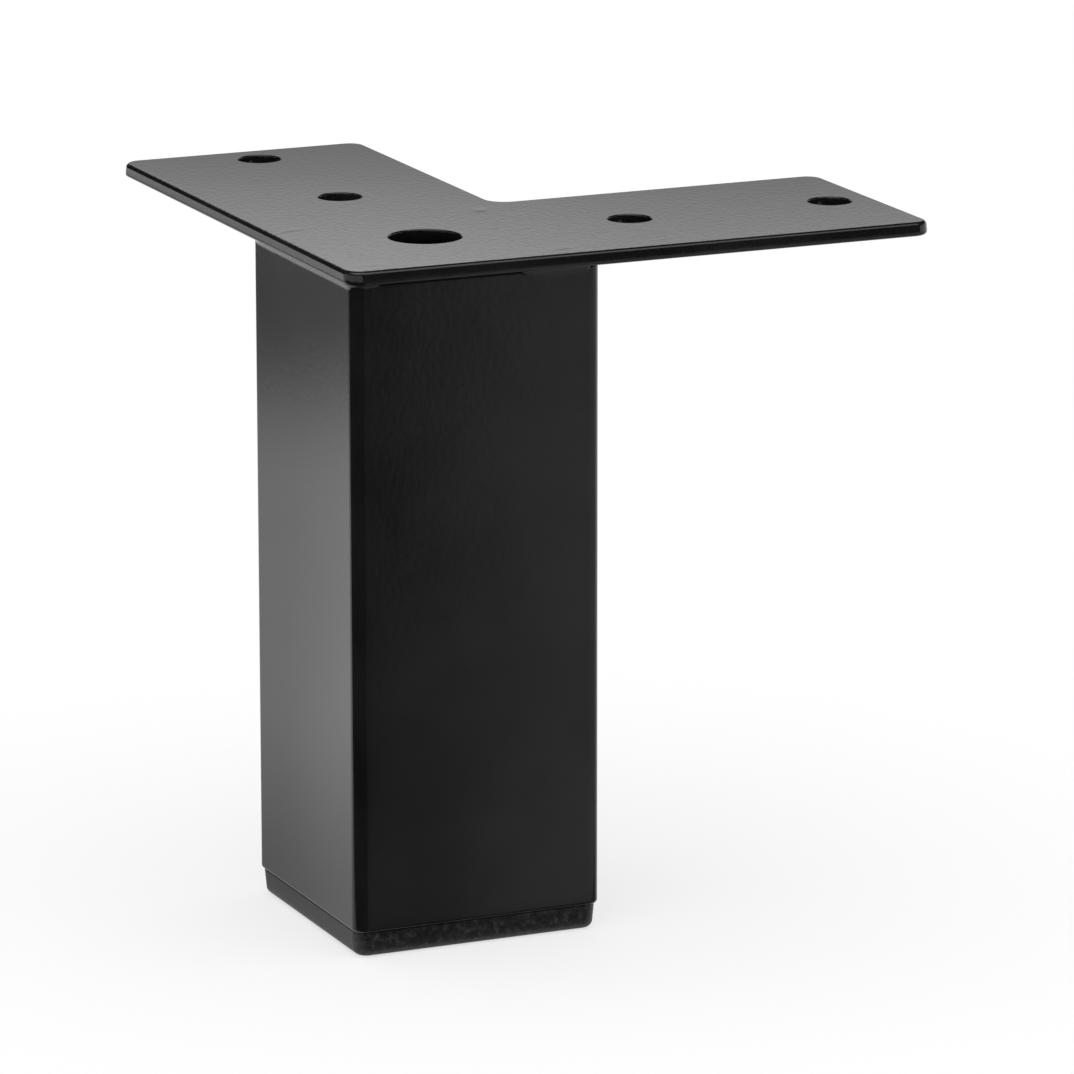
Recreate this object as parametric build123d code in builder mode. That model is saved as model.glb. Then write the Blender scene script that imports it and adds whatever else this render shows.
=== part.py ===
from build123d import *

import os
from math import atan2, degrees

# Corner furniture leg, in millimetres. A square steel tube stands under the outer corner of an
# L-shaped mounting plate and is welded to it. A moulded foot is pressed into the tube's lower
# end. +Z is up. The origin is the centre of the foot's resting face, on the tube's axis, and
# the plate's two arms run along +X and +Y.

# Overall sizes
overall_height = 131.0
arm_length = 119.0  # from the plate's outer edge to the end of an arm

# Square tube
tube_side = 50.0
tube_wall = 1.5
tube_bore_r = 0.9  # inside corner radius
tube_end_r = 0.8  # rounding of the lower rim

# Mounting plate
plate_thickness = 2.7
plate_overhang = 0.8  # lip past the tube's two outer faces
plate_corner_r = 3.5
inner_corner_r = 3.5  # between the two arms
plate_edge_land = 0.9  # upright part of the blanked edge, above the underside
plate_edge_draft = 6.0  # how many degrees the rest of the edge leans in
plate_top_r = 0.9
plate_base_r = 0.6
centre_hole_d = 13.6
screw_hole_d = 8.2
hole_rim = 0.3  # bevel round each hole
screws_per_arm = 2
screw_end_margin = 9.2  # last screw hole's centre to the end of the arm

# Welds
seam_recess = 0.2  # how far the beads under the lip stay behind the plate's edge
seam_rise = 0.1  # how far up the lip's rounding they reach
corner_weld_drop = 1.05  # how far the bead round the outer corner comes down the tube
corner_weld_return = 3.0  # its run on the front face, past the corner
front_weld_drop = 1.8
front_weld_length = 14.0
arm_weld_leg = 3.0
arm_weld_margin = 4.0  # from the end of a weld to the edge of the tube's face

# Foot flange, which shows below the tube
foot_height = 4.8
foot_inset = 0.3  # behind the tube's faces, at the top of the flange
foot_taper = 0.45  # how much further in each side is at the base
foot_corner_r = 3.0
foot_base_r = 1.4
foot_floor = 2.4  # thickness under the hollow

# Foot plug, hidden in the tube
plug_height = 18.0
plug_wall = 1.6
plug_corner_r = 2.5
plug_lead_in = 0.8
fin_clearance = 0.1  # fin to tube bore
fin_depth = 1.6
fin_height = 2.0
fin_corner_cut = 3.0
fin_pitch = 3.8
fin_count = 4

# Derived places
tube_half = tube_side / 2
tube_bore = tube_side - 2 * tube_wall
tube_corner_r = tube_bore_r + tube_wall
plate_underside = overall_height - plate_thickness
tube_length = plate_underside - foot_height
plate_outer = -tube_half - plate_overhang
arm_end = plate_outer + arm_length
arm_inner = tube_half  # flush with the tube's faces under the arms
hole_pitch = (arm_end - screw_end_margin) / screws_per_arm  # even steps from the centre hole
screw_places = [hole_pitch * (number + 1) for number in range(screws_per_arm)]
arm_weld_length = tube_side - 2 * (arm_weld_margin + arm_weld_leg)  # between its domed ends

os.makedirs("parts", exist_ok=True)


# Mounting plate: an L with rounded corners and five holes. Its blanked edge is upright at the
# bottom and leans in above, and is rounded at both faces.
with BuildPart() as mounting_plate:
    with BuildSketch(Plane.XY.offset(plate_underside)):
        with BuildLine():
            FilletPolyline(
                (plate_outer, plate_outer),
                (arm_end, plate_outer),
                (arm_end, arm_inner),
                (arm_inner, arm_inner),
                (arm_inner, arm_end),
                (plate_outer, arm_end),
                radius=[plate_corner_r] * 3 + [inner_corner_r] + [plate_corner_r] * 2,
                close=True,
            )
        make_face()
    extrude(amount=plate_edge_land)
    land_top = mounting_plate.faces().sort_by(Axis.Z)[-1]
    extrude(land_top, amount=plate_thickness - plate_edge_land, taper=plate_edge_draft)
    with Locations((0, 0, overall_height)):
        Hole(centre_hole_d / 2)
    with Locations([(place, 0, overall_height) for place in screw_places]):
        Hole(screw_hole_d / 2)
    with Locations([(0, place, overall_height) for place in screw_places]):
        Hole(screw_hole_d / 2)
    rims = mounting_plate.edges().filter_by(lambda edge: edge.is_closed)
    chamfer(rims, hole_rim)
    underside, top_face = mounting_plate.faces().filter_by(Axis.Z).sort_by(Axis.Z)
    fillet(top_face.outer_wire().edges(), plate_top_r)
    fillet(underside.outer_wire().edges(), plate_base_r)
mounting_plate.part.label = "mounting_plate"


# Square tube: rounded corners inside and out, with the lower rim eased
with BuildPart() as square_tube:
    with BuildSketch(Plane.XY.offset(foot_height)):
        RectangleRounded(tube_side, tube_side, tube_corner_r)
        RectangleRounded(tube_bore, tube_bore, tube_bore_r, mode=Mode.SUBTRACT)
    extrude(amount=tube_length)
    lower_rim = square_tube.faces().sort_by(Axis.Z)[0].outer_wire().edges()
    fillet(lower_rim, tube_end_r)
square_tube.part.label = "square_tube"


# Section of a flat-faced bead between the lip and the tube's face, with its rear in the tube's
# wall. Each bead is cut back to the faces that it joins.
seam_out = plate_overhang - seam_recess
seam_end = tube_half - tube_corner_r
seam_rear = tube_wall / 2


def bead_outline(drop):
    return [
        (-seam_out, plate_base_r),
        (-seam_out, seam_rise),
        (0, -drop),
        (seam_rear, -drop),
        (seam_rear, plate_base_r),
    ]


# Corner weld: along the tube's left face and a little way round the outer corner
with BuildPart() as corner_weld:
    with BuildLine(Plane.XY.offset(plate_underside)):
        seam = FilletPolyline(
            (-tube_half, seam_end),
            (-tube_half, -tube_half),
            (corner_weld_return - seam_end, -tube_half),
            radius=tube_corner_r,
        )
    with BuildSketch(Plane(origin=seam @ 0, x_dir=(1, 0, 0), z_dir=seam % 0)):
        with BuildLine():
            Polyline(bead_outline(corner_weld_drop), close=True)
        make_face()
    sweep(path=seam)
    add(mounting_plate.part, mode=Mode.SUBTRACT)
    add(square_tube.part, mode=Mode.SUBTRACT)
corner_weld.part.label = "corner_weld"


# Front weld: a taller bead of the same kind under the front edge, at its far end
front_weld_start = (seam_end - front_weld_length, -tube_half, plate_underside)
with BuildPart() as front_weld:
    with BuildSketch(Plane(origin=front_weld_start, x_dir=(0, 1, 0), z_dir=(1, 0, 0))):
        with BuildLine():
            Polyline(bead_outline(front_weld_drop), close=True)
        make_face()
    extrude(amount=front_weld_length)
    add(mounting_plate.part, mode=Mode.SUBTRACT)
    add(square_tube.part, mode=Mode.SUBTRACT)
front_weld.part.label = "front_weld"


# Arm weld: a quarter-round fillet bead with domed ends, between the tube's face and the arm
# above it
with BuildPart() as right_arm_weld:
    with BuildSketch(Plane.XZ.offset(-arm_weld_length / 2)):
        with Locations((tube_half, plate_underside)):
            Circle(arm_weld_leg)
            Rectangle(arm_weld_leg, arm_weld_leg, align=(Align.MIN, Align.MAX), mode=Mode.INTERSECT)
    extrude(amount=arm_weld_length)
    with Locations((tube_half, arm_weld_length / 2, plate_underside)):
        Sphere(arm_weld_leg, arc_size1=-90, arc_size2=0, arc_size3=90, align=None)
    with Locations(Location((tube_half, -arm_weld_length / 2, plate_underside), (0, 0, -90))):
        Sphere(arm_weld_leg, arc_size1=-90, arc_size2=0, arc_size3=90, align=None)
right_arm_weld.part.label = "right_arm_weld"


# The same bead under the other arm
with BuildPart() as back_arm_weld:
    add(right_arm_weld.part.rotate(Axis.Z, 90))
back_arm_weld.part.label = "back_arm_weld"


# Foot: a tapered flange under the tube and a hollow plug with barbed fins inside it
flange_side = tube_side - 2 * foot_inset
flange_draft = degrees(atan2(foot_taper, foot_height))
fin_side = tube_bore - 2 * fin_clearance
plug_side = fin_side - 2 * fin_depth
hollow_side = plug_side - 2 * plug_wall
plug_top = foot_height + plug_height
fin_levels = [plug_top - plug_lead_in - fin_height - fin_pitch * number for number in range(fin_count)]
with BuildPart() as foot_plug:
    with BuildSketch(Plane.XY.offset(foot_height)):
        RectangleRounded(flange_side, flange_side, foot_corner_r)
    extrude(amount=-foot_height, taper=flange_draft)
    base_edges = foot_plug.faces().sort_by(Axis.Z)[0].edges()
    fillet(base_edges, foot_base_r)
    with BuildSketch(Plane.XY.offset(foot_height)):
        RectangleRounded(plug_side, plug_side, plug_corner_r)
    extrude(amount=plug_height)
    mouth_edges = foot_plug.faces().sort_by(Axis.Z)[-1].edges()
    chamfer(mouth_edges, plug_lead_in)
    for level in fin_levels:
        with BuildSketch(Plane.XY.offset(level)):
            Rectangle(fin_side, fin_side)
            chamfer(vertices(), fin_corner_cut)
        with BuildSketch(Plane.XY.offset(level + fin_height)):
            Rectangle(plug_side, plug_side)
            chamfer(vertices(), fin_corner_cut)
        loft()
    with BuildSketch(Plane.XY.offset(foot_floor)):
        RectangleRounded(hollow_side, hollow_side, plug_corner_r)
    extrude(amount=plug_top - foot_floor, mode=Mode.SUBTRACT)
foot_plug.part.label = "foot_plug"


welds = [corner_weld, front_weld, right_arm_weld, back_arm_weld]
for piece in [mounting_plate, square_tube, *welds, foot_plug]:
    export_step(piece.part, f"parts/{piece.part.label}.step")
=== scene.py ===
"""Looks of a corner furniture leg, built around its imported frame. All lengths are in metres."""

import logging
import math
from dataclasses import dataclass
from enum import Enum
from typing import Any, Union

import bmesh
import bpy
from mathutils import Matrix, Vector, noise


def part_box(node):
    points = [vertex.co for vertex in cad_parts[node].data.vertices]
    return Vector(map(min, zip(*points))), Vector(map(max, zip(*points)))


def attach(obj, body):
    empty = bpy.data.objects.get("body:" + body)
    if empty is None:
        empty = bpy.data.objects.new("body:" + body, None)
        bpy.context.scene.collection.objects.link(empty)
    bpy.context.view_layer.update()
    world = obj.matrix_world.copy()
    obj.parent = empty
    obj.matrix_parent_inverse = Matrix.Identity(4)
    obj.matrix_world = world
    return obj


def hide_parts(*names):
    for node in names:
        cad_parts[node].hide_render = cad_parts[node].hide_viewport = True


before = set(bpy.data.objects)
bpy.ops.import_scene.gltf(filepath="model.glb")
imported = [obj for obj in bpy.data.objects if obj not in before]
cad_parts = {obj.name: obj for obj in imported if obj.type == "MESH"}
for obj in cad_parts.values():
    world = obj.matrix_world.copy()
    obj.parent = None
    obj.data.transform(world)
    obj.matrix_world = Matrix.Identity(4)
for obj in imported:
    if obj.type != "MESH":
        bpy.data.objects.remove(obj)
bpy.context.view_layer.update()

log = logging.getLogger("furniture_leg")

ROOT = "root"
MM = 0.001
MERGE_GAP = 0.001 * MM


class Slot(Enum):
    """The record's material slots."""

    POWDER_COAT = "powder_coat"
    FOOT_PLASTIC = "foot_plastic"


Number = Union[int, float]


@dataclass(frozen=True)
class Field:
    """A number that varies over a surface: a shader socket that takes part in expressions."""

    shader: "Shader"
    socket: bpy.types.NodeSocket

    def _maths(self, operation: str, *terms: Union["Field", Number]) -> "Field":
        """Add a Math node.

        Args:
            operation: the node's operation.
            terms: its inputs in order.

        Returns:
            The node's result.
        """
        node = self.shader.node("ShaderNodeMath", {"operation": operation}, dict(enumerate(terms)))
        return Field(self.shader, node.outputs[0])

    def __add__(self, other: Union["Field", Number]) -> "Field":
        """Add."""
        return self._maths("ADD", self, other)

    def __sub__(self, other: Union["Field", Number]) -> "Field":
        """Subtract."""
        return self._maths("SUBTRACT", self, other)

    def __rsub__(self, other: Union["Field", Number]) -> "Field":
        """Subtract this from a number."""
        return self._maths("SUBTRACT", other, self)

    def __mul__(self, other: Union["Field", Number]) -> "Field":
        """Multiply."""
        return self._maths("MULTIPLY", self, other)

    def __gt__(self, other: Number) -> "Field":
        """Give 1 where this is more than a number, and 0 elsewhere."""
        return self._maths("GREATER_THAN", self, other)

    __radd__ = __add__
    __rmul__ = __mul__

    def step(self, low: Number, high: Number) -> "Field":
        """Give a smooth step.

        Args:
            low: where the step starts.
            high: where it ends. It may be less than low, for a step down.

        Returns:
            0 before the step, 1 after it.
        """
        settings = {"interpolation_type": "SMOOTHSTEP"}
        values = {"Value": self, "From Min": low, "From Max": high}
        if low > high:
            values = {"Value": self, "From Min": high, "From Max": low, "To Min": 1.0, "To Max": 0.0}
        return Field(self.shader, self.shader.node("ShaderNodeMapRange", settings, values).outputs[0])


class Shader:
    """A node tree that is filled by expressions and by one method that adds any node."""

    def __init__(self, tree: bpy.types.NodeTree) -> None:
        """Empty the tree.

        Args:
            tree: the material's or the world's node tree.
        """
        self.tree = tree
        tree.nodes.clear()

    def node(
        self, kind: str, settings: dict[str, Any] | None = None, values: dict[Any, Any] | None = None
    ) -> bpy.types.Node:
        """Add a node.

        Args:
            kind: the node's type.
            settings: its own properties, set before its sockets.
            values: what each input socket holds or is linked to, by name or number.

        Returns:
            The node.
        """
        made = self.tree.nodes.new(kind)
        for name, value in (settings or {}).items():
            setattr(made, name, value)
        for name, value in (values or {}).items():
            source = value.socket if isinstance(value, Field) else value
            if isinstance(source, bpy.types.NodeSocket):
                self.tree.links.new(source, made.inputs[name])
            else:
                made.inputs[name].default_value = source
        return made

    def place(self) -> bpy.types.NodeSocket:
        """Give the point on the object, in metres."""
        return self.node("ShaderNodeTexCoord").outputs["Object"]

    def axes(self, point: bpy.types.NodeSocket) -> tuple[Field, Field, Field]:
        """Split a point or direction into its three parts."""
        parts = self.node("ShaderNodeSeparateXYZ", values={"Vector": point}).outputs
        return tuple(Field(self, part) for part in parts)

    def distance(self, point: bpy.types.NodeSocket, centre: tuple[float, float, float]) -> Field:
        """Give how far a point lies from a centre."""
        measure = self.node("ShaderNodeVectorMath", {"operation": "DISTANCE"}, {0: point, 1: centre})
        return Field(self, measure.outputs["Value"])

    def noise(
        self, point: bpy.types.NodeSocket, size: float, detail: float = 2.0, roughness: float = 0.5
    ) -> Field:
        """Add a noise.

        Args:
            point: where it is read.
            size: the size of its largest features.
            detail: how many finer layers it has.
            roughness: how strong they are.

        Returns:
            The noise, about 0.5.
        """
        values = {"Vector": point, "Scale": 1 / size, "Detail": detail, "Roughness": roughness}
        return Field(self, self.node("ShaderNodeTexNoise", values=values).outputs[0])

    def specks(self, point: bpy.types.NodeSocket, cell: float, size: float, chance: float) -> Field:
        """Scatter small round specks.

        Args:
            point: where they are read.
            cell: how far apart they lie.
            size: their radius.
            chance: the share of the cells that has one.

        Returns:
            1 in a speck and 0 outside.
        """
        values = {"Vector": point, "Scale": 1 / cell}
        cells = self.node("ShaderNodeTexVoronoi", {"feature": "F1"}, values).outputs
        inside = Field(self, cells["Distance"]).step(size / cell, 0.5 * size / cell)
        return inside * (self.axes(cells["Color"])[0] > 1 - chance)

    def mix(self, share: Field, first: Any, second: Any) -> bpy.types.NodeSocket:
        """Mix two colours.

        Args:
            share: how much of the second colour there is.
            first: a colour or a colour socket.
            second: a colour or a colour socket.

        Returns:
            The mixed colour.
        """
        first_colour, second_colour, result = 6, 7, 2
        values = {0: share, first_colour: first, second_colour: second}
        return self.node("ShaderNodeMix", {"data_type": "RGBA"}, values).outputs[result]

    def blend(
        self, share: Field, first: bpy.types.NodeSocket, second: bpy.types.NodeSocket
    ) -> bpy.types.NodeSocket:
        """Mix two shaders, where share is how much of the second there is."""
        return self.node("ShaderNodeMixShader", values={0: share, 1: first, 2: second}).outputs[0]

    def shade(self, level: Field, peak: float) -> bpy.types.NodeSocket:
        """Turn a level of light into a grey, where a level of peak is white."""
        return self.mix(level * (1 / peak), grey(0.0), grey(1.0))

    def glow(self, level: Field, peak: float) -> bpy.types.NodeSocket:
        """Give a light whose level varies up to peak."""
        values = {"Color": self.shade(level, peak), "Strength": peak}
        return self.node("ShaderNodeEmission", values=values).outputs[0]

    def bump(self, height: Field, depth: float) -> bpy.types.NodeSocket:
        """Turn a height of 0 to 1 into a normal, where depth is how deep a height of 1 is."""
        values = {"Strength": 1.0, "Distance": depth, "Height": height}
        return self.node("ShaderNodeBump", values=values).outputs[0]


def grey(level: float) -> tuple[float, float, float, float]:
    """Give a grey colour of a linear level."""
    return (level, level, level, 1.0)


@dataclass(frozen=True)
class Finish:
    """A surface finish that is made into one material."""

    name: str

    def material(self) -> bpy.types.Material:
        """Make the material with its shader.

        Returns:
            The material.
        """
        made = bpy.data.materials.new(self.name)
        made.use_nodes = True
        shader = Shader(made.node_tree)
        surface = self.surface(shader)
        shader.node("ShaderNodeOutputMaterial", values={"Surface": surface})
        return made

    def surface(self, shader: Shader) -> bpy.types.NodeSocket:
        """Build the finish's nodes in a shader and give the surface socket."""
        raise NotImplementedError


@dataclass(frozen=True)
class PowderCoat(Finish):
    """Satin black powder coat, with orange peel, fine grain and a few dust specks."""

    dark: tuple[float, ...] = (0.0055, 0.0055, 0.0062, 1.0)
    light: tuple[float, ...] = (0.0095, 0.0095, 0.0100, 1.0)
    speck: tuple[float, ...] = (0.16, 0.16, 0.155, 1.0)
    ior: float = 1.45
    roughness: float = 0.14
    roughness_spread: float = 0.05
    peel_size: float = 2.0 * MM
    peel_depth: float = 0.03 * MM
    grain_size: float = 1.0 * MM
    grain_share: float = 0.12
    top_grain: float = 1.4
    top_start: float = 130.90 * MM
    top_end: float = 130.98 * MM
    cloud_size: float = 28 * MM
    cloud_low: float = 0.35
    cloud_high: float = 0.65
    speck_cell: float = 11 * MM
    speck_size: float = 0.22 * MM
    speck_chance: float = 0.45

    def surface(self, shader: Shader) -> bpy.types.NodeSocket:
        """Build the coat's nodes.

        Args:
            shader: the material's shader, which is filled.

        Returns:
            The surface socket.
        """
        place = shader.place()
        peel = shader.noise(place, self.peel_size, detail=1.0, roughness=0.4)
        grain = shader.noise(place, self.grain_size, detail=0.0)
        cloud = shader.noise(place, self.cloud_size, detail=3.0, roughness=0.55)
        specks = shader.specks(place, self.speck_cell, self.speck_size, self.speck_chance)
        top = shader.axes(place)[2].step(self.top_start, self.top_end)
        height = peel + grain * (top * self.top_grain + self.grain_share)
        colour = shader.mix(cloud.step(self.cloud_low, self.cloud_high), self.dark, self.light)
        values = {
            "Base Color": shader.mix(specks, colour, self.speck),
            "Roughness": self.roughness + (cloud - 0.5) * self.roughness_spread,
            "IOR": self.ior,
            "Normal": shader.bump(height, self.peel_depth),
        }
        return shader.node("ShaderNodeBsdfPrincipled", values=values).outputs[0]


@dataclass(frozen=True)
class FootPlastic(Finish):
    """Matt black moulded plastic with a mottled, slightly pitted surface and pale specks."""

    dark: tuple[float, ...] = (0.007, 0.007, 0.007, 1.0)
    light: tuple[float, ...] = (0.040, 0.039, 0.038, 1.0)
    speck: tuple[float, ...] = (0.14, 0.14, 0.135, 1.0)
    ior: float = 1.45
    roughness: float = 0.48
    roughness_spread: float = 0.35
    mottle_size: float = 1.1 * MM
    mottle_low: float = 0.43
    mottle_high: float = 0.75
    mottle_share: float = 0.6
    pit_size: float = 0.4 * MM
    pit_depth: float = 0.14 * MM
    speck_cell: float = 1.6 * MM
    speck_size: float = 0.16 * MM
    speck_chance: float = 0.4

    def surface(self, shader: Shader) -> bpy.types.NodeSocket:
        """Build the plastic's nodes.

        Args:
            shader: the material's shader, which is filled.

        Returns:
            The surface socket.
        """
        place = shader.place()
        mottle = shader.noise(place, self.mottle_size, detail=4.0, roughness=0.65)
        pits = shader.noise(place, self.pit_size, detail=2.0, roughness=0.6)
        specks = shader.specks(place, self.speck_cell, self.speck_size, self.speck_chance)
        colour = shader.mix(mottle.step(self.mottle_low, self.mottle_high), self.dark, self.light)
        values = {
            "Base Color": shader.mix(specks, colour, self.speck),
            "Roughness": self.roughness + (mottle - 0.5) * self.roughness_spread,
            "IOR": self.ior,
            "Normal": shader.bump(pits + mottle * self.mottle_share, self.pit_depth),
        }
        return shader.node("ShaderNodeBsdfPrincipled", values=values).outputs[0]


@dataclass(frozen=True)
class StudioFloor(Finish):
    """A white floor that keeps a faint shadow near the leg and can be seen through from below."""

    dark: float = 0.90
    light: float = 0.93
    cloud_size: float = 0.3
    glow_share: float = 0.67
    shadow_end: float = 0.2
    white_start: float = 0.6

    def surface(self, shader: Shader) -> bpy.types.NodeSocket:
        """Build the floor's nodes.

        Args:
            shader: the material's shader, which is filled.

        Returns:
            The surface socket.
        """
        place = shader.place()
        cloud = shader.noise(place, self.cloud_size, detail=2.0)
        colour = shader.mix(cloud, grey(self.dark), grey(self.light))
        paper = shader.node("ShaderNodeBsdfDiffuse", values={"Color": colour})
        glow = shader.node("ShaderNodeEmission", values={"Color": grey(1.0), "Strength": 1.0})
        rays = shader.node("ShaderNodeLightPath").outputs
        seen = Field(shader, rays["Is Camera Ray"]) + Field(shader, rays["Is Glossy Ray"])
        seen = seen + Field(shader, rays["Is Transmission Ray"])
        away = shader.distance(place, (0.0, 0.0, 0.0))
        white = away.step(self.shadow_end, self.white_start) * (1 - self.glow_share)
        lit = shader.blend(seen * (white + self.glow_share), paper.outputs[0], glow.outputs[0])
        below = Field(shader, shader.node("ShaderNodeNewGeometry").outputs["Backfacing"])
        return shader.blend(below, lit, shader.node("ShaderNodeBsdfTransparent").outputs[0])


@dataclass(frozen=True)
class FrontCardFinish(Finish):
    """The shade of the card in front: graded along the front face and dark past its near corner."""

    dark: float = 0.17
    light: float = 0.52
    start: float = -28 * MM
    end: float = 30 * MM
    corner_start: float = -27 * MM
    corner_end: float = -23 * MM
    near_start: float = -46 * MM
    near_end: float = -27 * MM
    near_drop: float = 0.96
    face: float = -25 * MM
    lean: float = 0.43

    def surface(self, shader: Shader) -> bpy.types.NodeSocket:
        """Build the card's nodes, graded across the way that the front face mirrors it.

        Args:
            shader: the material's shader, which is filled.

        Returns:
            The surface socket.
        """
        x, y, _ = shader.axes(shader.place())
        along = x + (y - self.face) * self.lean
        level = along.step(self.start, self.end) * (self.light - self.dark) + self.dark
        near = 1 - y.step(self.near_start, self.near_end) * self.near_drop
        level = level * along.step(self.corner_start, self.corner_end) * near
        return shader.glow(level, self.light)


@dataclass(frozen=True)
class SideCardFinish(Finish):
    """The shade of the card at the side, along and across the way that the left face mirrors it."""

    level: float = 1.43
    near: float = 0.55
    near_end: float = 170 * MM
    far: float = 0.26
    far_start: float = 350 * MM
    far_end: float = 560 * MM
    beyond: float = 0.85
    beyond_start: float = 650 * MM
    beyond_end: float = 760 * MM
    face: float = -25 * MM
    lean: float = 2.324
    side_drop: float = 0.38
    corner_lean: float = 0.6
    corner_start: float = -36 * MM
    corner_end: float = -28 * MM
    reach_start: float = 23 * MM

    def surface(self, shader: Shader) -> bpy.types.NodeSocket:
        """Build the card's nodes: dimmer close by, darkest at mid reach and dark past the corner.

        Args:
            shader: the material's shader, which is filled.

        Returns:
            The surface socket.
        """
        place = shader.place()
        x, y, _ = shader.axes(place)
        reach = shader.distance(place, (self.face, self.face, 0.0)) - self.reach_start
        near = reach.step(0.0, self.near_end) * (1 - self.near) + self.near
        far = reach.step(self.far_end, self.far_start) * (1 - self.far) + self.far
        beyond = reach.step(self.beyond_start, self.beyond_end) * (self.beyond - self.far)
        side = 1 - (y + (x - self.face) * self.lean).step(self.face, -self.face) * self.side_drop
        corner = (y + (x - self.face) * self.corner_lean).step(self.corner_start, self.corner_end)
        return shader.glow((near * far + beyond) * side * corner * self.level, self.level)


@dataclass(frozen=True)
class ScreenFinish(Finish):
    """The shade of the upright screen: brighter higher up, which the plate's near part mirrors."""

    dark: float = 0.31
    light: float = 1.13
    start: float = 139 * MM
    end: float = 195 * MM
    right_drop: float = 0.13
    right_start: float = 60 * MM
    right_end: float = 140 * MM

    def surface(self, shader: Shader) -> bpy.types.NodeSocket:
        """Build the screen's nodes.

        Args:
            shader: the material's shader, which is filled.

        Returns:
            The surface socket.
        """
        x, _, height = shader.axes(shader.place())
        right = 1 - x.step(self.right_start, self.right_end) * self.right_drop
        level = (height.step(self.start, self.end) * (self.light - self.dark) + self.dark) * right
        return shader.glow(level, self.light)


def add_piece(name: str, shape: bmesh.types.BMesh, material: bpy.types.Material) -> bpy.types.Object:
    """Turn a bmesh into an object at the origin.

    Args:
        name: the object's name.
        shape: its mesh, which is freed.
        material: its finish.

    Returns:
        The object.
    """
    mesh = bpy.data.meshes.new(name)
    shape.to_mesh(mesh)
    shape.free()
    mesh.materials.append(material)
    piece = bpy.data.objects.new(name, mesh)
    bpy.context.scene.collection.objects.link(piece)
    return piece


def shade_smooth(piece: bpy.types.Object, crease: float = math.radians(50)) -> None:
    """Shade a piece smooth, with flat faces that keep their own direction.

    Args:
        piece: the piece.
        crease: the least angle at which an edge stays sharp.
    """
    piece.data.shade_smooth()
    piece.data.set_sharp_from_angle(angle=crease)
    flatten = piece.modifiers.new("flat_faces", "WEIGHTED_NORMAL")
    flatten.weight = 100
    flatten.keep_sharp = True


def merged_copy(node: str) -> bmesh.types.BMesh:
    """Give a copy of a CAD node's mesh with its loose triangles merged.

    Args:
        node: the CAD node.

    Returns:
        The copy.
    """
    shape = bmesh.new()
    shape.from_mesh(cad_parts[node].data)
    bmesh.ops.remove_doubles(shape, verts=shape.verts, dist=MERGE_GAP)
    return shape


def round_edges(shape: bmesh.types.BMesh, edges: list[bmesh.types.BMEdge], offset: float) -> None:
    """Round edges of a mesh.

    Args:
        shape: the mesh.
        edges: its edges to round.
        offset: how far from each edge the rounding starts.
    """
    bmesh.ops.bevel(
        shape,
        geom=edges,
        offset=offset,
        offset_type="OFFSET",
        segments=3,
        profile=0.5,
        affect="EDGES",
        material=-1,
    )


def stand_for(piece: bpy.types.Object, node: str) -> None:
    """Show a piece in the place of a CAD node.

    Args:
        piece: the piece.
        node: the CAD node that it stands for.
    """
    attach(piece, ROOT)
    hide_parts(node)


def dress_node(node: str, material: bpy.types.Material) -> None:
    """Give a CAD node a better material in its own slots.

    Args:
        node: the CAD node.
        material: its finish.
    """
    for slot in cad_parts[node].material_slots:
        slot.material = material
    log.info("%s keeps its CAD mesh, in %s", node, material.name)


@dataclass(frozen=True)
class Mark:
    """A shallow mark that the welding left in the plate's top, over a corner of the tube."""

    x: float
    y: float
    length: float
    width: float
    turn: float
    depth: float
    cutoff: float = 9.0

    def sink(self, x: float, y: float) -> float:
        """Give how far the surface lies below the flat one.

        Args:
            x: the place along X.
            y: the place along Y.

        Returns:
            The depth there.
        """
        across = Vector((x - self.x, y - self.y))
        across.rotate(Matrix.Rotation(-self.turn, 2))
        reach = (across.x / self.length) ** 2 + (across.y / self.width) ** 2
        return self.depth * math.exp(-reach) if reach < self.cutoff else 0.0


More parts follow.
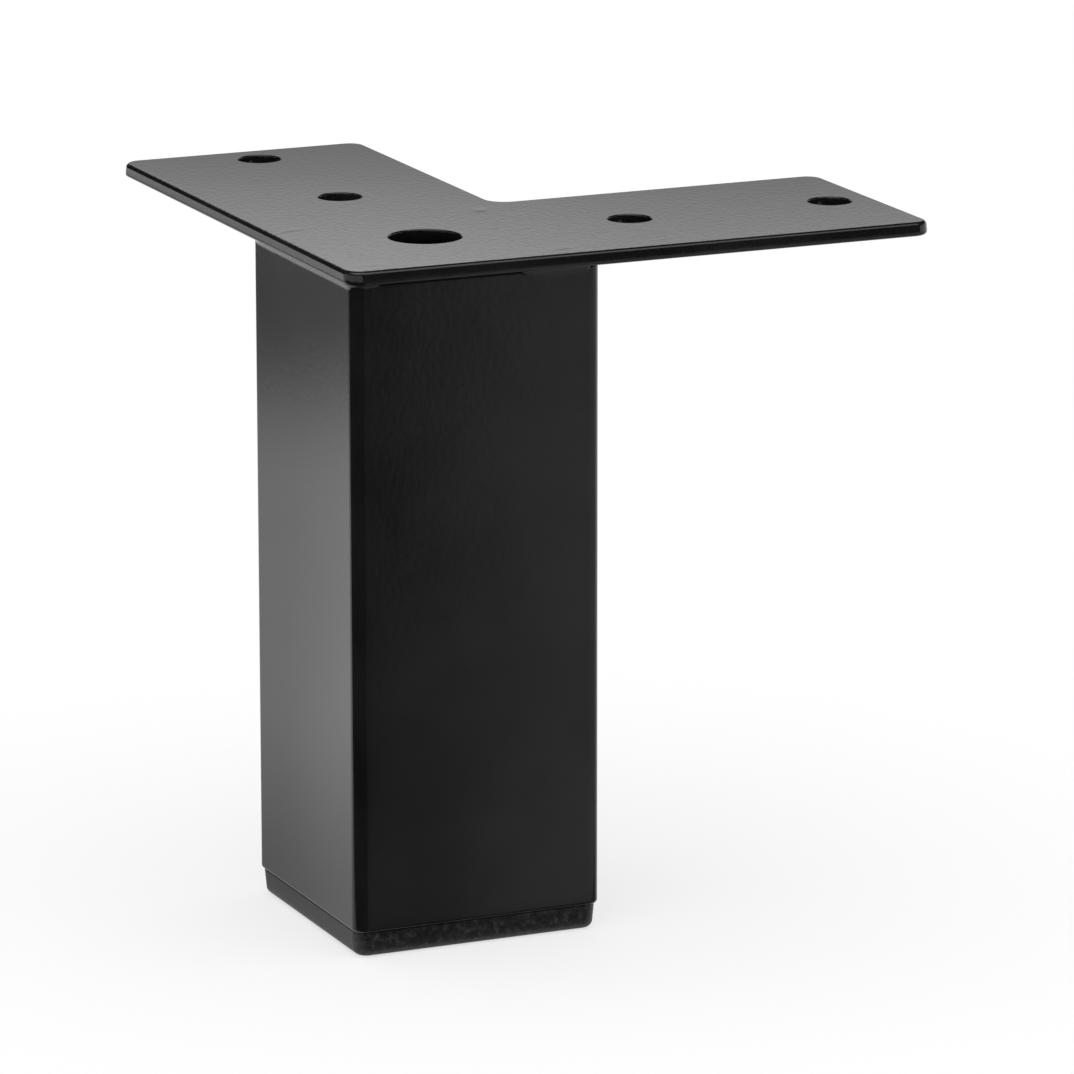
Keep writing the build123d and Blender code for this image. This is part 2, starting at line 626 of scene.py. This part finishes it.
@dataclass
class MountingPlate:
    """The L-shaped plate: a copy of the CAD mesh that is cut finer round the weld marks."""

    coat: bpy.types.Material
    node: str = "mounting_plate"
    cell: float = 0.4 * MM
    window: float = 6.0 * MM
    frame_reach: float = 66.0 * MM
    crease: float = math.radians(40)
    rim_round: float = 0.1 * MM
    rim_angle: float = math.radians(40)
    marks: tuple[Mark, ...] = (
        Mark(-20.7 * MM, 15.6 * MM, 2.4 * MM, 0.8 * MM, math.radians(20), 0.10 * MM),
        Mark(19.5 * MM, 19.2 * MM, 1.9 * MM, 1.2 * MM, math.radians(60), 0.11 * MM),
        Mark(-18.6 * MM, -20.0 * MM, 2.2 * MM, 1.3 * MM, math.radians(-30), 0.05 * MM),
        Mark(19.3 * MM, -20.2 * MM, 2.0 * MM, 1.2 * MM, math.radians(15), 0.08 * MM),
    )

    def build(self) -> bpy.types.Object:
        """Build the plate and put it in its node's place.

        Returns:
            The plate.
        """
        shape = merged_copy(self.node)
        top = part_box(self.node)[1].z
        self._round_rims(shape, top)
        for mark in self.marks:
            self._cut_window(shape, mark, top)
        for vert in shape.verts:
            if vert.co.z > top - MERGE_GAP:
                vert.co.z -= sum(mark.sink(vert.co.x, vert.co.y) for mark in self.marks)
        plate = add_piece("plate_with_weld_marks", shape, self.coat)
        shade_smooth(plate, self.crease)
        stand_for(plate, self.node)
        log.info("plate: %d faces", len(plate.data.polygons))
        return plate

    def _round_rims(self, shape: bmesh.types.BMesh, top: float) -> None:
        """Round the edge between the top face and the bevel of each hole.

        Args:
            shape: the plate.
            top: the height of the top face.
        """
        rims = []
        for edge in shape.edges:
            level = all(vert.co.z > top - MERGE_GAP for vert in edge.verts)
            if level and edge.calc_face_angle(0.0) > self.rim_angle:
                rims.append(edge)
        round_edges(shape, rims, self.rim_round)

    def _cut_window(self, shape: bmesh.types.BMesh, mark: Mark, top: float) -> None:
        """Cut the top face round a mark into small cells.

        Args:
            shape: the plate.
            mark: the mark at the window's centre.
            top: the height of the top face.
        """
        centre = Vector((mark.x, mark.y, top))
        cells = round(self.window / self.cell)
        offsets = [number * self.cell for number in range(1 - cells, cells)]
        for axis in (Vector((1, 0, 0)), Vector((0, 1, 0))):
            for offset in (-self.window, self.window):
                self._cut(shape, centre, axis, offset, self.frame_reach)
        for axis in (Vector((1, 0, 0)), Vector((0, 1, 0))):
            for offset in offsets:
                self._cut(shape, centre, axis, offset, self.window)

    def _cut(
        self, shape: bmesh.types.BMesh, centre: Vector, axis: Vector, offset: float, reach: float
    ) -> None:
        """Cut the top faces near a mark along one plane.

        Args:
            shape: the plate.
            centre: the mark's place.
            axis: the plane's normal.
            offset: how far the plane lies from the mark.
            reach: how far from the mark a face's middle may be.
        """
        faces = []
        for face in shape.faces:
            middle = face.calc_center_median()
            near = max(abs(middle.x - centre.x), abs(middle.y - centre.y)) < reach
            if near and middle.z > centre.z - MERGE_GAP:
                faces.append(face)
        edges = {edge for face in faces for edge in face.edges}
        verts = {vert for face in faces for vert in face.verts}
        bmesh.ops.bisect_plane(
            shape,
            geom=[*faces, *edges, *verts],
            dist=MERGE_GAP,
            plane_co=centre + axis * offset,
            plane_no=axis,
        )


@dataclass
class SquareTube:
    """The tube: a copy of the CAD mesh whose upper rim is rounded, so that the seam shows as a gap."""

    coat: bpy.types.Material
    node: str = "square_tube"
    rim_round: float = 0.45 * MM
    side_tilt: float = 0.5

    def build(self) -> bpy.types.Object:
        """Build the tube and put it in its node's place.

        Returns:
            The tube.
        """
        shape = merged_copy(self.node)
        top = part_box(self.node)[1].z
        rim = [edge for edge in shape.edges if self._on_outer_rim(edge, top)]
        round_edges(shape, rim, self.rim_round)
        tube = add_piece("tube_with_eased_rim", shape, self.coat)
        shade_smooth(tube)
        stand_for(tube, self.node)
        log.info("tube: %d faces", len(tube.data.polygons))
        return tube

    def _on_outer_rim(self, edge: bmesh.types.BMEdge, top: float) -> bool:
        """Tell whether an edge lies on the outer outline of the tube's upper end.

        Args:
            edge: the edge.
            top: the height of the upper end.

        Returns:
            Whether it lies there.
        """
        if any(vert.co.z < top - MERGE_GAP for vert in edge.verts):
            return False
        middle = (edge.verts[0].co + edge.verts[1].co) / 2
        sides = [face.normal for face in edge.link_faces if abs(face.normal.z) < self.side_tilt]
        return any(side.x * middle.x + side.y * middle.y > 0 for side in sides)


@dataclass(frozen=True)
class Stretch:
    """A part of a bead's way: straight along a heading, or a turn about an upright axis."""

    length: float
    heading: tuple[float, float] = (0.0, 0.0)
    pivot: tuple[float, float] | None = None
    turn: float = 0.0

    def steps(self, step: float) -> int:
        """Give how many rings the stretch takes."""
        return max(1, round(self.length / step))

    def carry(
        self, shape: bmesh.types.BMesh, verts: list[bmesh.types.BMVert], root: Vector, count: int
    ) -> Vector:
        """Move one ring of the bead on by one step.

        Args:
            shape: the bead's mesh.
            verts: the ring.
            root: the point under the ring, on the seam.
            count: how many steps the stretch has.

        Returns:
            The new root.
        """
        if self.pivot is None:
            move = Vector((*self.heading, 0.0)) * (self.length / count)
            bmesh.ops.translate(shape, vec=move, verts=verts)
            return root + move
        pivot = Vector((*self.pivot, root.z))
        spin = Matrix.Rotation(self.turn / count, 3, "Z")
        bmesh.ops.rotate(shape, cent=pivot, matrix=spin, verts=verts)
        return pivot + spin @ (root - pivot)


@dataclass
class Ring:
    """One section of a bead, with how far along the bead it lies."""

    station: float
    root: Vector
    verts: list[bmesh.types.BMVert]


@dataclass
class WeldBead:
    """A weld bead under the plate, laid ring by ring along its way.

    The section is a quadratic curve through three points, each given as its distance out from the
    tube's face and its height over the plate's underside.
    """

    name: str
    node: str
    coat: bpy.types.Material
    start: tuple[float, float]
    outward: tuple[float, float]
    way: tuple[Stretch, ...]
    curve: tuple[tuple[float, float], ...]
    hidden: tuple[tuple[float, float], ...]
    step: float = 0.25 * MM
    curve_points: int = 11
    ripple_pitch: float = 1.3 * MM
    ripple: float = 0.05
    lump_size: float = 0.9 * MM
    lump: float = 0.22
    wobble: float = 0.6
    wobble_size: float = 3.0
    start_length: float = 1.0 * MM
    end_length: float = 1.0 * MM
    end_share: float = 0.1

    def build(self) -> bpy.types.Object:
        """Build the bead and put it in its node's place.

        Returns:
            The bead.
        """
        shape = bmesh.new()
        rings = self._lay(shape)
        whole = rings[-1].station
        for ring in rings:
            dome = self._dome(ring.station, whole)
            for vert in ring.verts:
                offset = vert.co - ring.root
                if offset.z < 0:
                    offset.z *= self._swell(ring.station, ring.root)
                vert.co = ring.root + offset * dome
        bmesh.ops.recalc_face_normals(shape, faces=shape.faces)
        bead = add_piece(self.name, shape, self.coat)
        shade_smooth(bead)
        stand_for(bead, self.node)
        log.info("%s: %.0f mm long, %d faces", self.name, whole / MM, len(bead.data.polygons))
        return bead

    def _lay(self, shape: bmesh.types.BMesh) -> list[Ring]:
        """Extrude the section along the way.

        Args:
            shape: the mesh to fill.

        Returns:
            The rings in order.
        """
        root = Vector((*self.start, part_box("mounting_plate")[0].z))
        face = self._section(shape, root)
        rings = [Ring(0.0, root, list(face.verts))]
        for stretch in self.way:
            count = stretch.steps(self.step)
            for _ in range(count):
                moved = bmesh.ops.extrude_face_region(shape, geom=[face])["geom"]
                if len(rings) > 1:
                    bmesh.ops.delete(shape, geom=[face], context="FACES_ONLY")
                face = next(part for part in moved if isinstance(part, bmesh.types.BMFace))
                verts = list(face.verts)
                root = stretch.carry(shape, verts, root, count)
                rings.append(Ring(rings[-1].station + stretch.length / count, root, verts))
        return rings

    def _section(self, shape: bmesh.types.BMesh, root: Vector) -> bmesh.types.BMFace:
        """Make the section's face at the start of the way.

        Args:
            shape: the mesh to fill.
            root: the point where the tube's face meets the plate's underside.

        Returns:
            The face.
        """
        first, middle, last = (Vector(point) for point in self.curve)
        shares = [number / (self.curve_points - 1) for number in range(self.curve_points)]
        points = [first * (1 - t) ** 2 + middle * (2 * t * (1 - t)) + last * t**2 for t in shares]
        points.extend(Vector(point) for point in self.hidden)
        outward = Vector((*self.outward, 0.0))
        places = [root + outward * point.x + Vector((0.0, 0.0, point.y)) for point in points]
        return shape.faces.new([shape.verts.new(place) for place in places])

    def _swell(self, station: float, place: Vector) -> float:
        """Give how much taller than the plain section the bead is at a point of the seam.

        Args:
            station: how far along the bead the point lies.
            place: the point.

        Returns:
            A factor near 1.
        """
        wobble = self.wobble * noise.noise(place / (self.wobble_size * self.lump_size))
        ripple = self.ripple * math.cos(math.tau * station / self.ripple_pitch + math.tau * wobble)
        return 1 + ripple + self.lump * noise.noise(place / self.lump_size)

    def _dome(self, station: float, whole: float) -> float:
        """Give the share of its size that the bead has near its two ends.

        Args:
            station: how far along the bead the point lies.
            whole: the bead's length.

        Returns:
            1 along the bead, less near an end.
        """
        from_end = min(station / self.start_length, (whole - station) / self.end_length, 1.0)
        return self.end_share + (1 - self.end_share) * math.sqrt(1 - (1 - from_end) ** 2)


@dataclass
class Welds:
    """The four weld beads, placed from the tube's box."""

    coat: bpy.types.Material
    corner_radius: float = 2.4 * MM
    lip_out: float = 0.60 * MM
    lip_rise: float = 0.155 * MM
    waist: float = 0.37
    root_depth: float = 0.3 * MM
    corner_drop: float = 1.05 * MM
    corner_return: float = 3.0 * MM
    front_drop: float = 1.8 * MM
    front_length: float = 14.0 * MM
    arm_leg: float = 3.0 * MM
    arm_bulge: float = 1.75 * MM
    arm_fill: float = 0.96

    def build(self) -> None:
        """Build the beads."""
        low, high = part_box("square_tube")
        flat = high.x - self.corner_radius
        pivot = (low.x + self.corner_radius, low.y + self.corner_radius)
        corner = (
            Stretch(2 * flat, (0.0, -1.0)),
            Stretch(self.corner_radius * math.pi / 2, pivot=pivot, turn=math.pi / 2),
            Stretch(self.corner_return, (1.0, 0.0)),
        )
        WeldBead(
            "corner_weld_bead",
            "corner_weld",
            self.coat,
            (low.x, flat),
            (-1.0, 0.0),
            corner,
            *self._seam(self.corner_drop),
            ripple_pitch=1.1 * MM,
            ripple=0.06,
            lump=0.14,
            end_length=7.0 * MM,
        ).build()
        front = (Stretch(self.front_length, (1.0, 0.0)),)
        start = (flat - self.front_length, low.y)
        WeldBead(
            "front_weld_bead",
            "front_weld",
            self.coat,
            start,
            (0.0, -1.0),
            front,
            *self._seam(self.front_drop),
            ripple=0.02,
            lump=0.10,
            lump_size=1.4 * MM,
            start_length=5.0 * MM,
        ).build()
        self._arm_weld("right_arm_weld", (1.0, 0.0), (0.0, 1.0))
        self._arm_weld("back_arm_weld", (0.0, 1.0), (-1.0, 0.0))

    def _seam(self, drop: float) -> tuple[tuple[tuple[float, float], ...], ...]:
        """Give the hollow section of a bead under the lip.

        Args:
            drop: how far the bead comes down the tube.

        Returns:
            The curve's three points, and the points behind it, in the plate and the tube's wall.
        """
        curve = ((self.lip_out, self.lip_rise), (0.0, -self.waist * drop), (0.0, -drop))
        depth = self.root_depth
        return curve, ((-depth, -drop), (-depth, depth), (self.lip_out - depth, self.lip_rise + depth))

    def _arm_weld(self, node: str, outward: tuple[float, float], heading: tuple[float, float]) -> None:
        """Build the bead under one arm.

        Args:
            node: the CAD weld.
            outward: the way that the tube's face looks.
            heading: the way that the bead runs.
        """
        low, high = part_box(node)
        face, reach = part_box("square_tube")[1].x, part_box("right_arm_weld")[1].y
        start = Vector(outward) * face - Vector(heading) * reach
        length = max(high.x - low.x, high.y - low.y)
        leg = self.arm_leg * self.arm_fill
        curve = ((leg, 0.0), (self.arm_bulge, -self.arm_bulge), (0.0, -leg))
        depth = self.root_depth
        hidden = ((-depth, -leg), (-depth, depth), (leg, depth))
        WeldBead(
            f"{node}_bead",
            node,
            self.coat,
            tuple(start),
            outward,
            (Stretch(length, heading),),
            curve,
            hidden,
            ripple_pitch=1.6 * MM,
            ripple=0.02,
            lump=0.03,
            lump_size=2.0 * MM,
            start_length=3.0 * MM,
            end_length=3.0 * MM,
        ).build()


@dataclass(frozen=True)
class Card:
    """A flat card that shows in reflections only, lying or upright, turned by some degrees."""

    name: str
    finish: Finish
    size: tuple[float, float]
    middle: tuple[float, float, float]
    upright: bool = False
    heading: float = 0.0

    def build(self) -> None:
        """Place the card."""
        shape = bmesh.new()
        bmesh.ops.create_grid(shape, x_segments=1, y_segments=1, size=0.5)
        bmesh.ops.scale(shape, vec=(*self.size, 1), verts=shape.verts)
        tilt = Matrix.Rotation(math.pi / 2 if self.upright else 0.0, 4, "X")
        heading = Matrix.Rotation(math.radians(self.heading), 4, "Z")
        turn = Matrix.Translation(self.middle) @ heading @ tilt
        bmesh.ops.transform(shape, matrix=turn, verts=shape.verts)
        card = add_piece(self.name, shape, self.finish.material())
        for kind in ("camera", "diffuse", "transmission", "volume_scatter", "shadow"):
            setattr(card, f"visible_{kind}", False)


FLAG = ScreenFinish("flag", dark=0.02, light=0.02)


@dataclass(frozen=True)
class Studio:
    """A white floor, a bright low surround, a softbox overhead and cards for reflections."""

    floor_radius: float = 4.0
    floor_segments: int = 128
    floor_drop: float = 0.1 * MM
    floor_finish: StudioFloor = StudioFloor("studio_floor")
    cards: tuple[Card, ...] = (
        Card("front_card", FrontCardFinish("front_card"), (2.0, 1.1), (-0.2, -0.5756, 0.5 * MM)),
        Card("side_card", SideCardFinish("side_card"), (1.2, 1.0), (-0.6258, 0.4744, 0.5 * MM)),
        Card("screen", ScreenFinish("screen"), (0.26, 0.13), (0.097, 0.176, 0.196), True, -23.3),
        Card("side_flag", FLAG, (0.9, 0.42), (-0.47, 1.02, 0.28), True, 24.0),
        Card("front_flag", FLAG, (1.8, 0.6), (0.5, -1.3, 0.3), True, 22.6),
        Card("top_flag", FLAG, (3.0, 2.0), (0.4, 0.915, 0.6), False, -23.7),
    )
    surround: float = 0.85
    surround_glow: float = 1.5
    glow_start: float = math.sin(math.radians(8))
    surround_end: float = math.sin(math.radians(13.5))
    gap: float = 0.04
    gap_start: float = math.sin(math.radians(17))
    gap_end: float = math.sin(math.radians(50))
    ceiling: float = 0.6
    ceiling_start: float = math.sin(math.radians(60))
    box_size: float = 2.4
    box_height: float = 1.3
    box_power: float = 29.0

    def build(self) -> None:
        """Build the floor, the cards, the world and the softbox."""
        self._floor()
        for card in self.cards:
            card.build()
        self._world()
        self._softbox()

    def _floor(self) -> None:
        """Build the floor."""
        shape = bmesh.new()
        segments, radius = self.floor_segments, self.floor_radius
        bmesh.ops.create_circle(shape, cap_ends=True, segments=segments, radius=radius)
        bmesh.ops.translate(shape, vec=(0, 0, -self.floor_drop), verts=shape.verts)
        floor = add_piece("floor", shape, self.floor_finish.material())

    def _world(self) -> None:
        """Build the surround: bright low down, dark above that and lighter overhead."""
        world = bpy.data.worlds.new("studio")
        bpy.context.scene.world = world
        world.use_nodes = True
        shader = Shader(world.node_tree)
        direction = shader.node("ShaderNodeTexCoord").outputs["Generated"]
        rise = shader.axes(direction)[2]
        glow = rise.step(self.glow_start, self.surround_end) * (self.surround_glow - self.surround)
        low = rise.step(self.gap_start, self.surround_end)
        high = rise.step(self.gap_end, self.ceiling_start)
        level = low * (glow + (self.surround - self.gap)) + high * (self.ceiling - self.gap) + self.gap
        seen = Field(shader, shader.node("ShaderNodeLightPath").outputs["Is Camera Ray"])
        colour = shader.shade(level * (1 - seen) + seen, self.surround_glow)
        values = {"Color": colour, "Strength": self.surround_glow}
        light = shader.node("ShaderNodeBackground", values=values)
        shader.node("ShaderNodeOutputWorld", values={"Surface": light.outputs[0]})

    def _softbox(self) -> None:
        """Hang the softbox over the object."""
        lamp = bpy.data.lights.new("softbox", "AREA")
        lamp.shape = "SQUARE"
        lamp.size = self.box_size
        lamp.energy = self.box_power
        box = bpy.data.objects.new("softbox", lamp)
        box.location = (0, 0, self.box_height)
        bpy.context.scene.collection.objects.link(box)


@dataclass(frozen=True)
class PhotoCamera:
    """The camera that the photograph was taken with, fitted to the plate's and the tube's edges."""

    azimuth: float = math.radians(-23.733)
    elevation: float = math.radians(13.906)
    roll: float = math.radians(-0.05)
    distance: float = 1.31982
    target: tuple[float, float, float] = (0.011795, -0.025, 0.077668)
    frame_px: float = 1074
    focal_px: float = 7095.7
    sensor_mm: float = 36.0
    clip_end: float = 20.0

    def build(self) -> None:
        """Build the camera and make it the scene's."""
        data = bpy.data.cameras.new("camera")
        data.sensor_width = self.sensor_mm
        data.lens = self.focal_px / self.frame_px * self.sensor_mm
        data.clip_end = self.clip_end
        camera = bpy.data.objects.new("camera", data)
        back = Vector(
            (
                math.sin(self.azimuth) * math.cos(self.elevation),
                -math.cos(self.azimuth) * math.cos(self.elevation),
                math.sin(self.elevation),
            )
        )
        right = Vector((math.cos(self.azimuth), math.sin(self.azimuth), 0))
        up = back.cross(right)
        turn = Matrix((right, up, back)).transposed() @ Matrix.Rotation(self.roll, 3, "Z")
        camera.matrix_world = Matrix.Translation(Vector(self.target) + back * self.distance) @ turn.to_4x4()
        bpy.context.scene.collection.objects.link(camera)
        bpy.context.scene.camera = camera


def main() -> None:
    """Build the pieces in order, then the studio and the camera."""
    logging.basicConfig(level=logging.INFO, format="%(name)s: %(message)s")
    coat = PowderCoat("powder_coat_satin").material()
    tube_coat = PowderCoat(
        "powder_coat_smooth", peel_size=1.2 * MM, peel_depth=0.012 * MM, grain_size=0.4 * MM, top_grain=0.0
    ).material()
    plastic = FootPlastic("foot_plastic_matt").material()
    MountingPlate(coat).build()
    SquareTube(tube_coat).build()
    Welds(tube_coat).build()
    dress_node("foot_plug", plastic)
    Studio().build()
    PhotoCamera().build()
    bpy.context.scene.view_settings.view_transform = "Standard"


if __name__ == "__main__":
    main()
